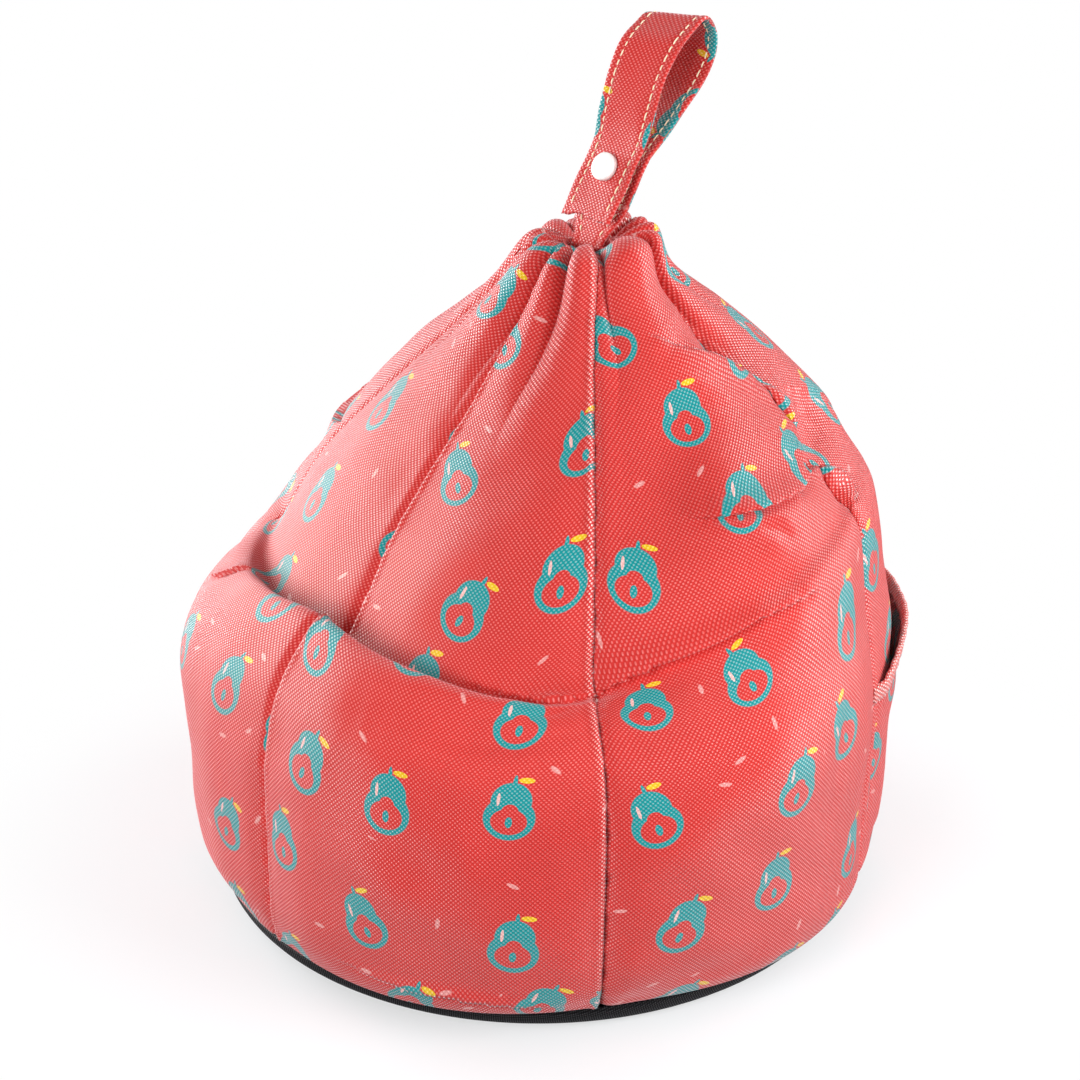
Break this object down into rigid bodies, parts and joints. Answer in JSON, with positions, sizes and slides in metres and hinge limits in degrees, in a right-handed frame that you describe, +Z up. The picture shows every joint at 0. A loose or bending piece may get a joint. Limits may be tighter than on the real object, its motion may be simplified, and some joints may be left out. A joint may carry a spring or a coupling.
{
  "type": "tablet cushion stand",
  "caption": "Bead-filled cushion stand with a front ledge and leaning rest for a tablet, a snap-fastened carry strap, a side pocket and a zipped flat base.",
  "frame": {"origin": "on the ground under the middle of the round base, on the base panel's flat under face", "axes": "+Z up; the ledge that holds the tablet faces -Y; the side pocket is on the back right, toward +X and +Y"},
  "size_m": [0.2946, 0.2749, 0.34],
  "materials": {
    "printed_cloth": "woven polyester, printed",
    "lining_cloth": "plain thin cloth",
    "beads": "loose foam beads",
    "base_cloth": "dense black cloth",
    "zip_tape": "woven tape",
    "zip_coil": "satin",
    "zip_metal": "satin black",
    "snap_plastic": "glossy white",
    "hem_cloth": "woven polyester, reverse side"
  },
  "bodies": {
    "cushion": {"panel_front_right": "printed_cloth", "panel_right": "printed_cloth", "panel_back_right": "printed_cloth", "panel_back_left": "printed_cloth", "panel_left": "printed_cloth", "panel_front_left": "printed_cloth", "bead_bag": "lining_cloth", "bead_fill": "beads", "base_panel": "base_cloth", "zip_tape_front": "zip_tape", "zip_tape_back": "zip_tape", "zip_coil_front": "zip_coil", "zip_coil_back": "zip_coil", "zip_stop_left": "zip_metal", "zip_stop_right": "zip_metal", "neck_binding": "printed_cloth", "pocket_panel": "printed_cloth", "pocket_hem": "hem_cloth"},
    "slider": {"zip_slider": "zip_metal"},
    "strap": {"strap_back_leg": "printed_cloth", "snap_stud": "snap_plastic", "snap_cap_back": "snap_plastic"},
    "strap_end": {"strap_front_leg": "printed_cloth", "snap_socket": "snap_plastic", "snap_cap_front": "snap_plastic"}
  },
  "joints": [
    {"name": "strap_swing", "type": "hinge", "parent": "cushion", "child": "strap", "pos_m": [0, 0.025, 0.257], "axis": [0.9962, 0.0872, 0], "range_deg": [-40, 20]},
    {"name": "strap_open", "type": "hinge", "parent": "strap", "child": "strap_end", "pos_m": [-0.00297, 0.05892, 0.34], "axis": [-0.9962, -0.0872, 0], "range_deg": [0, 100]},
    {"name": "zip_slide", "type": "slide", "parent": "cushion", "child": "slider", "axis": [1, 0, 0], "range_m": [0, 0.1545]}
  ]
}
